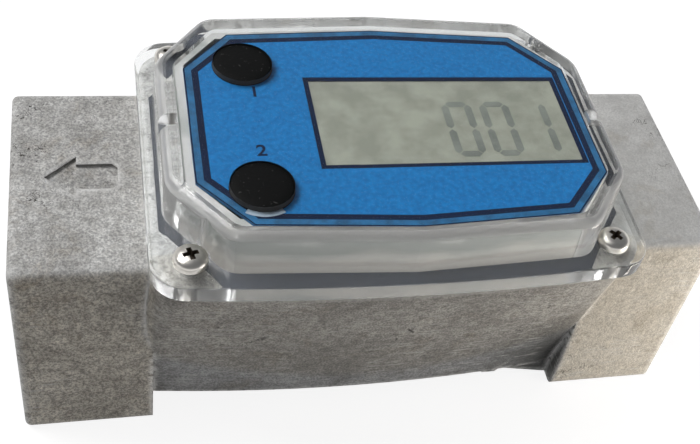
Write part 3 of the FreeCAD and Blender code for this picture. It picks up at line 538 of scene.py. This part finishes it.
figures = bmesh.new()
FIRST_FIGURE = Vector((glass_low.x + 24.25 * MM, glass_low.y + 9.2 * MM, FILM_TOP + 0.01 * MM))
FIGURE_HEAVE = 0.03 * MM
across, upright = FIGURE_WIDTH - 2 * FIGURE_GAP, FIGURE_HEIGHT / 2 - 2 * FIGURE_GAP
for place, figure in enumerate("001"):
    centre = FIRST_FIGURE + Vector((place * FIGURE_PITCH, 0, 0))
    side, rise = FIGURE_WIDTH / 2, FIGURE_HEIGHT / 2
    for bar, x, y, stands in (("top", 0, rise, False), ("middle", 0, 0, False), ("bottom", 0, -rise, False),
                              ("upper_left", -side, rise / 2, True), ("upper_right", side, rise / 2, True),
                              ("lower_left", -side, -rise / 2, True), ("lower_right", side, -rise / 2, True)):
        if bar in SHOWN_BARS[figure].split():
            add_bar(figures, centre + Vector((x, y, 0)), upright if stands else across, stands)
draw_up(figures, figures.faces[:], FIGURE_HEAVE)
to_piece("display_figures", figures, "meter_body",
         plain_finish("liquid_crystal", (0.165, 0.180, 0.160), 0.5, 0.0, 0.2, 1500.0))

# ------------------------------------------------------------------------------------------------
# Face label: a blue plate with a rim between two navy lines; the rim's darker blue is painted shade from
# the rim of the dome. It has a window for the display and two holes for the keys, and it lies just under
# the ceiling of the cover.
# ------------------------------------------------------------------------------------------------
label_low, label_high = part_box("face_label")
LABEL_EDGE = 0.22 * MM
LABEL_RIM = 0.95 * MM
LABEL_LINE = 1.0 * MM
KEY_HOLE = 4.5 * MM
KEY_SHIFT = {"upper": -1.55 * MM, "lower": -1.27 * MM}
head_middle = (label_low.x + label_high.x) / 2


def decagon(half_length, half_width, bow, cut_x, cut_y):
    """A rectangle with cut corners whose long sides are bent outward at the middle, in millimetres."""
    right = [(half_length - cut_x, -half_width), (half_length, cut_y - half_width),
             (half_length, half_width - cut_y), (half_length - cut_x, half_width)]
    ring = right + [(0, half_width + bow)] + [(-x, -y) for x, y in right] + [(0, -half_width - bow)]
    return [(head_middle + x * MM, y * MM) for x, y in ring]


def prism(outline, low, high):
    """A bmesh with an outline drawn up from one height to another."""
    shape = bmesh.new()
    face = shape.faces.new([shape.verts.new((x, y, low)) for x, y in outline])
    draw_up(shape, [face], high - low)
    bmesh.ops.recalc_face_normals(shape, faces=shape.faces[:])
    return shape


def drum(x, y, radius, low, high, sides=64):
    turns = [2 * math.pi * step / sides for step in range(sides)]
    return prism([(x + radius * math.cos(turn), y + radius * math.sin(turn)) for turn in turns], low, high)


def rectangle(x_low, x_high, y_low, y_high):
    return [(x_low, y_low), (x_high, y_low), (x_high, y_high), (x_low, y_high)]


def combine(shape, operation, *others):
    """Cuts the other shapes out of a shape, or joins them to it."""
    first = bpy.data.objects.new("work", bpy.data.meshes.new("work"))
    shape.to_mesh(first.data)
    shape.free()
    bpy.context.collection.objects.link(first)
    helpers = []
    for other in others:
        helper = bpy.data.objects.new("other", bpy.data.meshes.new("other"))
        other.to_mesh(helper.data)
        other.free()
        bpy.context.collection.objects.link(helper)
        helpers.append(helper)
        step = first.modifiers.new("combine", "BOOLEAN")
        step.operation = operation
        step.solver = "EXACT"
        step.object = helper
    done = bmesh.new()
    done.from_object(first, bpy.context.evaluated_depsgraph_get())
    for helper in helpers + [first]:
        bpy.data.objects.remove(helper)
    return done


key_middles = {}
for key in KEY_SHIFT:
    low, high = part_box("button_" + key)
    key_middles[key] = ((low.x + high.x) / 2, (low.y + high.y) / 2 + KEY_SHIFT[key])
window_low, window_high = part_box("display_bezel")
WINDOW_MARGIN = 1.8 * MM
WINDOW_END = 0.6 * MM
window = rectangle(window_low.x + WINDOW_MARGIN, window_high.x - WINDOW_END, window_low.y + WINDOW_MARGIN,
                   window_high.y - WINDOW_MARGIN)

label_outline = [(x + 0.6 * MM, y - 0.5 * MM) for x, y in decagon(30.8, 20.3, 1.4, 7.2, 8.2)]
label = prism(label_outline, label_low.z, label_high.z)
label_top = [face for face in label.faces if face.normal.z > 0.5]
edge_line, _, line = [
    bmesh.ops.inset_region(label, faces=label_top, thickness=thickness, use_even_offset=True)["faces"]
    for thickness in (LABEL_EDGE, LABEL_RIM, LABEL_LINE)]
for face in label.faces:
    face.material_index = 1
for face in line + edge_line:
    face.material_index = 2
for face in label_top:
    face.material_index = 0
holes = [drum(*middle, KEY_HOLE + 0.1 * MM, label_low.z - MM, label_high.z + MM)
         for middle in key_middles.values()]
label = combine(label, "DIFFERENCE", prism(window, label_low.z - MM, label_high.z + MM), *holes)
# The rim's darker blue is painted shade.
piece = to_piece("printed_label", label, "meter_body",
                 plain_finish("label_blue", (0.004, 0.150, 0.40), 0.5, 0.0, 0.16, 9000.0, 0.00001, 0.1),
                 plain_finish("label_rim_shaded_blue", (0.010, 0.105, 0.24), 0.4, 0.0, 0.30, 3000.0, 0.00002, 0.3),
                 plain_finish("label_navy", (0.001, 0.008, 0.035), 0.5, 0.0, 0.10, 2500.0, 0.00001, 0.05))
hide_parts("face_label")

# ------------------------------------------------------------------------------------------------
# Display film and window line: the face of the display is drawn up into the label's window, and a navy
# line is printed round it.
# ------------------------------------------------------------------------------------------------
film = prism(window, FILM_TOP - 0.2 * MM, FILM_TOP)
to_piece("display_film", film, "meter_body", display_glass)
WINDOW_LINE = 0.78 * MM
inner_window = rectangle(window[0][0] + WINDOW_LINE, window[1][0] - WINDOW_LINE,
                         window[0][1] + WINDOW_LINE, window[2][1] - WINDOW_LINE)
frame_line = combine(prism(window, FILM_TOP + 0.01 * MM, FILM_TOP + 0.15 * MM), "DIFFERENCE",
                     prism(inner_window, FILM_TOP - MM, FILM_TOP + MM))
to_piece("display_window_line", frame_line, "meter_body", bpy.data.materials["label_navy"])


# ------------------------------------------------------------------------------------------------
# Key figures: a plain 1 and a plain 2 printed beside the two keys.
# ------------------------------------------------------------------------------------------------
def print_figure(name, word, x, y, height):
    """A navy figure printed on the label, from the built-in letter shapes."""
    text = bpy.data.curves.new(name, "FONT")
    text.body = word
    text.size = height
    text.align_x = "CENTER"
    text.align_y = "CENTER"
    text.extrude = 0.012 * MM
    text.offset = 0.06 * MM
    holder = bpy.data.objects.new(name, text)
    bpy.context.collection.objects.link(holder)
    outline = bpy.data.meshes.new_from_object(holder.evaluated_get(bpy.context.evaluated_depsgraph_get()))
    bpy.data.objects.remove(holder)
    shape = bmesh.new()
    shape.from_mesh(outline)
    bpy.data.meshes.remove(outline)
    bmesh.ops.translate(shape, vec=(x, y, label_high.z + 0.014 * MM), verts=shape.verts)
    to_piece(name, shape, "meter_body", bpy.data.materials["label_navy"])


KEY_FIGURE = 3.2 * MM
print_figure("key_figure_upper", "1", key_middles["upper"][0] + 1.2 * MM, 6.1 * MM, KEY_FIGURE)
print_figure("key_figure_lower", "2", key_middles["lower"][0] + 0.8 * MM, -6.6 * MM, KEY_FIGURE)


# ------------------------------------------------------------------------------------------------
# Keys: two black rubber caps that fill their holes, each turned about its own line. The grain of the
# rubber shows, and dust lies on it.
# ------------------------------------------------------------------------------------------------
def turned(middle, profile, steps=64):
    """Spins a profile of (radius, height) points about an upright line."""
    shape = bmesh.new()
    corners = [shape.verts.new((middle[0] + radius, middle[1], height)) for radius, height in profile]
    edges = [shape.edges.new(pair) for pair in zip(corners, corners[1:])]
    bmesh.ops.spin(shape, geom=corners + edges, cent=(*middle, 0), axis=(0, 0, 1), angle=2 * math.pi,
                   steps=steps, use_merge=True, use_duplicate=False)
    bmesh.ops.remove_doubles(shape, verts=shape.verts[:], dist=1e-7)
    bmesh.ops.recalc_face_normals(shape, faces=shape.faces[:])
    return shape


def button_rubber():
    material, tree, output = new_material("button_rubber")
    place = object_place(tree)
    dust = ramp(tree, noise(tree, place, 1900, 2.0, 0.6), 0.66, 0.74)
    colour = mix(tree, dust, (0.0035, 0.004, 0.004), (0.06, 0.06, 0.058))
    principled(tree, output, Base_Color=colour, Roughness=0.55, Specular_IOR_Level=0.12,
               Normal=bump(tree, noise(tree, place, 1500, 3.0), 0.00005, 0.6))
    return material


rubber = button_rubber()
KEY_STEM, KEY_SKIRT, KEY_CAP = 1.6 * MM, 5.3 * MM, 4.44 * MM
skirt_foot, skirt_top = label_low.z - 1.1 * MM, label_low.z - 0.1 * MM
cap_top = solid_box[1][2] - 0.02 * MM
for key, middle in key_middles.items():
    low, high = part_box("button_" + key)
    profile = [(0, low.z), (KEY_STEM, low.z), (KEY_STEM, skirt_foot), (KEY_SKIRT, skirt_foot),
               (KEY_SKIRT, skirt_top), (KEY_CAP, skirt_top), (KEY_CAP, cap_top - 0.4 * MM),
               (4.36 * MM, cap_top - 0.22 * MM), (4.1 * MM, cap_top - 0.14 * MM),
               (3.0 * MM, cap_top - 0.08 * MM), (1.5 * MM, cap_top - 0.02 * MM), (0, cap_top)]
    piece = to_piece("key_cap_" + key, turned(middle, profile), key + "_key", rubber)
    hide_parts("button_" + key)

# ------------------------------------------------------------------------------------------------
# Clear cover, one moulding in polycarbonate: a flange with round corners, a dome with rounded edges,
# seats for four screws and a notch at each end. The face over the label is polished, the walls and
# bevels are hazy, and black rubber lines the holes for the keys.
# ------------------------------------------------------------------------------------------------
cover_low, cover_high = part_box("clear_cover")
FLANGE_TOP = cover_low.z + 2.7 * MM
CEILING = label_high.z + 0.1 * MM


def edges_where(shape, test):
    return [edge for edge in shape.edges if test(edge)]


def round_edges(shape, edges, radius, segments):
    bmesh.ops.bevel(shape, geom=edges, offset=radius, offset_type="OFFSET", segments=segments, profile=0.5,
                    affect="EDGES", material=-1, clamp_overlap=True)


def is_upright(edge):
    return abs(edge.verts[0].co.z - edge.verts[1].co.z) > MM


def is_at(height):
    return lambda edge: all(abs(vert.co.z - height) < 1e-6 for vert in edge.verts)


def is_corner(edge):
    """An upright edge that isn't the bend in the middle of a long side."""
    return is_upright(edge) and abs(edge.verts[0].co.x - head_middle) > MM


def is_end_corner(edge):
    return is_upright(edge) and abs(abs(edge.verts[0].co.x - head_middle) - half_length) < 1e-6


DOME_LENGTH, DOME_WIDTH = 34.7, 23.8
TOP_LENGTH, TOP_WIDTH = 34.4, 23.6
DOME_ROUNDING = 1.6 * MM
dome = prism(decagon(DOME_LENGTH, DOME_WIDTH, 1.4, 8.0, 10.6), FLANGE_TOP - MM, cover_high.z)
for vert in dome.verts:
    if vert.co.z > FLANGE_TOP:
        vert.co.x = head_middle + (vert.co.x - head_middle) * TOP_LENGTH / DOME_LENGTH
        vert.co.y *= TOP_WIDTH / DOME_WIDTH
round_edges(dome, edges_where(dome, is_corner), DOME_ROUNDING, 5)
round_edges(dome, edges_where(dome, is_at(cover_high.z)), DOME_ROUNDING, 6)
half_length, half_width, bow = 36.9 * MM, 25.6 * MM, 1.8 * MM
arc = [(half_length * (step / 8 - 1), half_width + bow * (1 - (step / 8 - 1) ** 2)) for step in range(17)]
flange = prism([(head_middle + x, y) for x, y in arc] + [(head_middle - x, -y) for x, y in arc],
               cover_low.z + 0.06 * MM, FLANGE_TOP)
round_edges(flange, edges_where(flange, is_end_corner), 6.0 * MM, 10)
round_edges(flange, edges_where(flange, is_at(FLANGE_TOP)), 0.7 * MM, 3)
inside = prism(decagon(31.7, 20.9, 1.4, 6.4, 8.4), cover_low.z - MM, CEILING)
round_edges(inside, edges_where(inside, is_corner), 1.0 * MM, 3)
screw_low, screw_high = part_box("cover_screws")
SCREW_HEAD = 2.4 * MM
SCREW_SEAT = 2.75 * MM
SCREW_HOLE = 1.35 * MM
screw_middles = [(x, y) for x in (screw_low.x + SCREW_HEAD, screw_high.x - SCREW_HEAD)
                 for y in (screw_low.y + SCREW_HEAD, screw_high.y - SCREW_HEAD)]
cuts = [inside]
cuts += [drum(*middle, KEY_HOLE, CEILING - MM, cover_high.z + MM) for middle in key_middles.values()]
cuts += [drum(*middle, SCREW_SEAT, FLANGE_TOP, cover_high.z + MM, 40) for middle in screw_middles]
cuts += [drum(*middle, SCREW_HOLE, cover_low.z - MM, FLANGE_TOP + MM, 24) for middle in screw_middles]
for side in (-1, 1):
    notch_low, notch_high = sorted((head_middle + side * 31.9 * MM, head_middle + side * 37 * MM))
    cuts.append(prism(rectangle(notch_low, notch_high, -2.0 * MM, 0.6 * MM), cover_high.z - 2.2 * MM,
                      cover_high.z + MM))
cover = combine(combine(dome, "UNION", flange), "DIFFERENCE", *cuts)
for face in cover.faces:
    spot = face.calc_center_median()
    level = spot.z
    is_flat = abs(face.normal.z) > 0.99
    polished = is_flat and (level > cover_high.z - 0.01 * MM or abs(level - CEILING) < 0.01 * MM)
    over_key = any((spot.xy - Vector(middle)).length < KEY_HOLE + 0.1 * MM for middle in key_middles.values())
    bevel = 0.25 < face.normal.z < 0.93 and level > FLANGE_TOP + 1.5 * MM
    if polished:
        face.material_index = 0
    elif over_key:
        face.material_index = 4
    elif level < FLANGE_TOP + 0.2 * MM:
        face.material_index = 2
    else:
        face.material_index = 3 if bevel else 1


def clear_polycarbonate(name, roughness, haze, wave):
    """Clear plastic. Haze is the share of light that its skin scatters."""
    material, tree, output = new_material(name)
    place = object_place(tree)
    shader = principled(tree, output, Base_Color=(0.97, 0.98, 0.98), Roughness=roughness, IOR=1.45,
                        Transmission_Weight=1.0)
    normal = bump(tree, noise(tree, place, 140, 2.0), wave, 0.5)
    link(tree, normal, shader.inputs["Normal"])
    milk = tree.nodes.new("ShaderNodeBsdfDiffuse")
    milk.inputs["Color"].default_value = (0.80, 0.80, 0.79, 1)
    veil = tree.nodes.new("ShaderNodeMixShader")
    veil.inputs[0].default_value = haze
    link(tree, shader.outputs[0], veil.inputs[1])
    link(tree, milk.outputs[0], veil.inputs[2])
    path = tree.nodes.new("ShaderNodeLightPath")
    open_air = tree.nodes.new("ShaderNodeBsdfTransparent")
    open_air.inputs["Color"].default_value = (0.93, 0.94, 0.94, 1)
    pane = tree.nodes.new("ShaderNodeMixShader")
    link(tree, path.outputs["Is Shadow Ray"], pane.inputs[0])
    link(tree, veil.outputs[0], pane.inputs[1])
    link(tree, open_air.outputs[0], pane.inputs[2])
    link(tree, pane.outputs[0], output.inputs["Surface"])
    return material


piece = to_piece("moulded_cover", cover, "meter_body",
                 clear_polycarbonate("clear_polycarbonate", 0.03, 0.0, 0.000005),
                 clear_polycarbonate("hazy_polycarbonate", 0.09, 0.15, 0.0003),
                 clear_polycarbonate("flange_polycarbonate", 0.07, 0.04, 0.0002),
                 clear_polycarbonate("bevel_polycarbonate", 0.09, 0.34, 0.0003),
                 plain_finish("key_sleeve_rubber", (0.012, 0.013, 0.014), 0.7, 0.0, 0.1, 1500.0, 0.0))
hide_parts("clear_cover")

# ------------------------------------------------------------------------------------------------
# Lip of the gasket. The rubber is pressed flat out of its groove along the foot of the dome.
# ------------------------------------------------------------------------------------------------
lip_outside = prism(decagon(35.05, 24.8, 1.45, 8.0, 10.9), cover_low.z - 0.1 * MM, cover_low.z + 0.04 * MM)
lip_inside = prism(decagon(34.3, 23.5, 1.5, 7.6, 10.4), cover_low.z - MM, cover_low.z + MM)
lip = combine(lip_outside, "DIFFERENCE", lip_inside)
to_piece("gasket_lip", lip, "meter_body", gasket_rubber)

# ------------------------------------------------------------------------------------------------
# Highlight bead: a pale bead under the lower edge of the lower key, a painted highlight where the wall of its
# hole catches the light.
# ------------------------------------------------------------------------------------------------
bead = bmesh.new()
HIGHLIGHT_START, HIGHLIGHT_SWEEP = math.radians(238), math.radians(62)
HIGHLIGHT_REACH, HIGHLIGHT_HALF_WIDTH, HIGHLIGHT_HALF_HEIGHT = 4.95 * MM, 0.42 * MM, 0.04 * MM
middle = Vector((*key_middles["lower"], label_high.z + 0.05 * MM))
spoke = Vector((math.cos(HIGHLIGHT_START), math.sin(HIGHLIGHT_START), 0))
section = [bead.verts.new(middle + spoke * (HIGHLIGHT_REACH + HIGHLIGHT_HALF_WIDTH * math.cos(turn))
                          + Vector((0, 0, HIGHLIGHT_HALF_HEIGHT * math.sin(turn))))
           for turn in [math.radians(45 * step) for step in range(8)]]
bmesh.ops.spin(bead, geom=[bead.faces.new(section)], cent=middle, axis=(0, 0, 1), angle=HIGHLIGHT_SWEEP, steps=24,
               use_merge=False, use_duplicate=False)
to_piece("highlight_bead", bead, "meter_body",
         plain_finish("painted_highlight_finish", (0.34, 0.42, 0.50), 0.25, 0.0, 0.35, 1800.0, 0.0001))

# ------------------------------------------------------------------------------------------------
# Cover screws: four nickel-plated pan heads with a cross recess, each stopped at its own angle.
# ------------------------------------------------------------------------------------------------
RECESS_ARM = 1.45 * MM
RECESS_WIDTH = 0.42 * MM
RECESS_DEPTH = 1.15 * MM
SCREW_SHANK = 1.18 * MM
screws = bmesh.new()
for middle, turn in zip(screw_middles, (15, 62, 38, 80)):
    head, seat = screw_high.z, FLANGE_TOP + 0.02 * MM
    profile = [(0, screw_low.z), (0.8 * MM, screw_low.z), (SCREW_SHANK, screw_low.z + 0.5 * MM),
               (SCREW_SHANK, seat), (SCREW_HEAD, seat), (SCREW_HEAD, head - 1.0 * MM),
               (2.28 * MM, head - 0.66 * MM), (1.95 * MM, head - 0.34 * MM), (1.4 * MM, head - 0.12 * MM),
               (0.7 * MM, head - 0.02 * MM), (0, head)]
    arms = []
    for extra in (0, 90):
        arm = prism(rectangle(-RECESS_ARM, RECESS_ARM, -RECESS_WIDTH, RECESS_WIDTH),
                    head - RECESS_DEPTH, head + MM)
        for vert in arm.verts:
            if vert.co.z < head:
                vert.co.x *= 0.5
                vert.co.y *= 0.7
        bmesh.ops.rotate(arm, cent=(0, 0, 0), matrix=Matrix.Rotation(math.radians(turn + extra), 3, "Z"),
                         verts=arm.verts)
        bmesh.ops.translate(arm, vec=(*middle, 0), verts=arm.verts)
        arms.append(arm)
    cut = combine(turned(middle, profile, 40), "DIFFERENCE", *arms)
    for face in cut.faces:
        spot = face.calc_center_median()
        reach = (spot.xy - Vector(middle)).length
        in_recess = reach < 1.5 * MM and head - RECESS_DEPTH - 1e-6 < spot.z < head - 0.2 * MM
        face.material_index = int(in_recess)
    done = bpy.data.meshes.new("screw")
    cut.to_mesh(done)
    cut.free()
    screws.from_mesh(done)
    bpy.data.meshes.remove(done)
# The faces in each cross recess get a near black finish.
piece = to_piece("cross_head_screws", screws, "meter_body",
                 plain_finish("screw_nickel", (0.74, 0.71, 0.66), 0.30, 1.0, 0.15, 1500.0, 0.00008),
                 plain_finish("dark_recess", (0.06, 0.045, 0.03), 0.6, 0.3))
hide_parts("cover_screws")
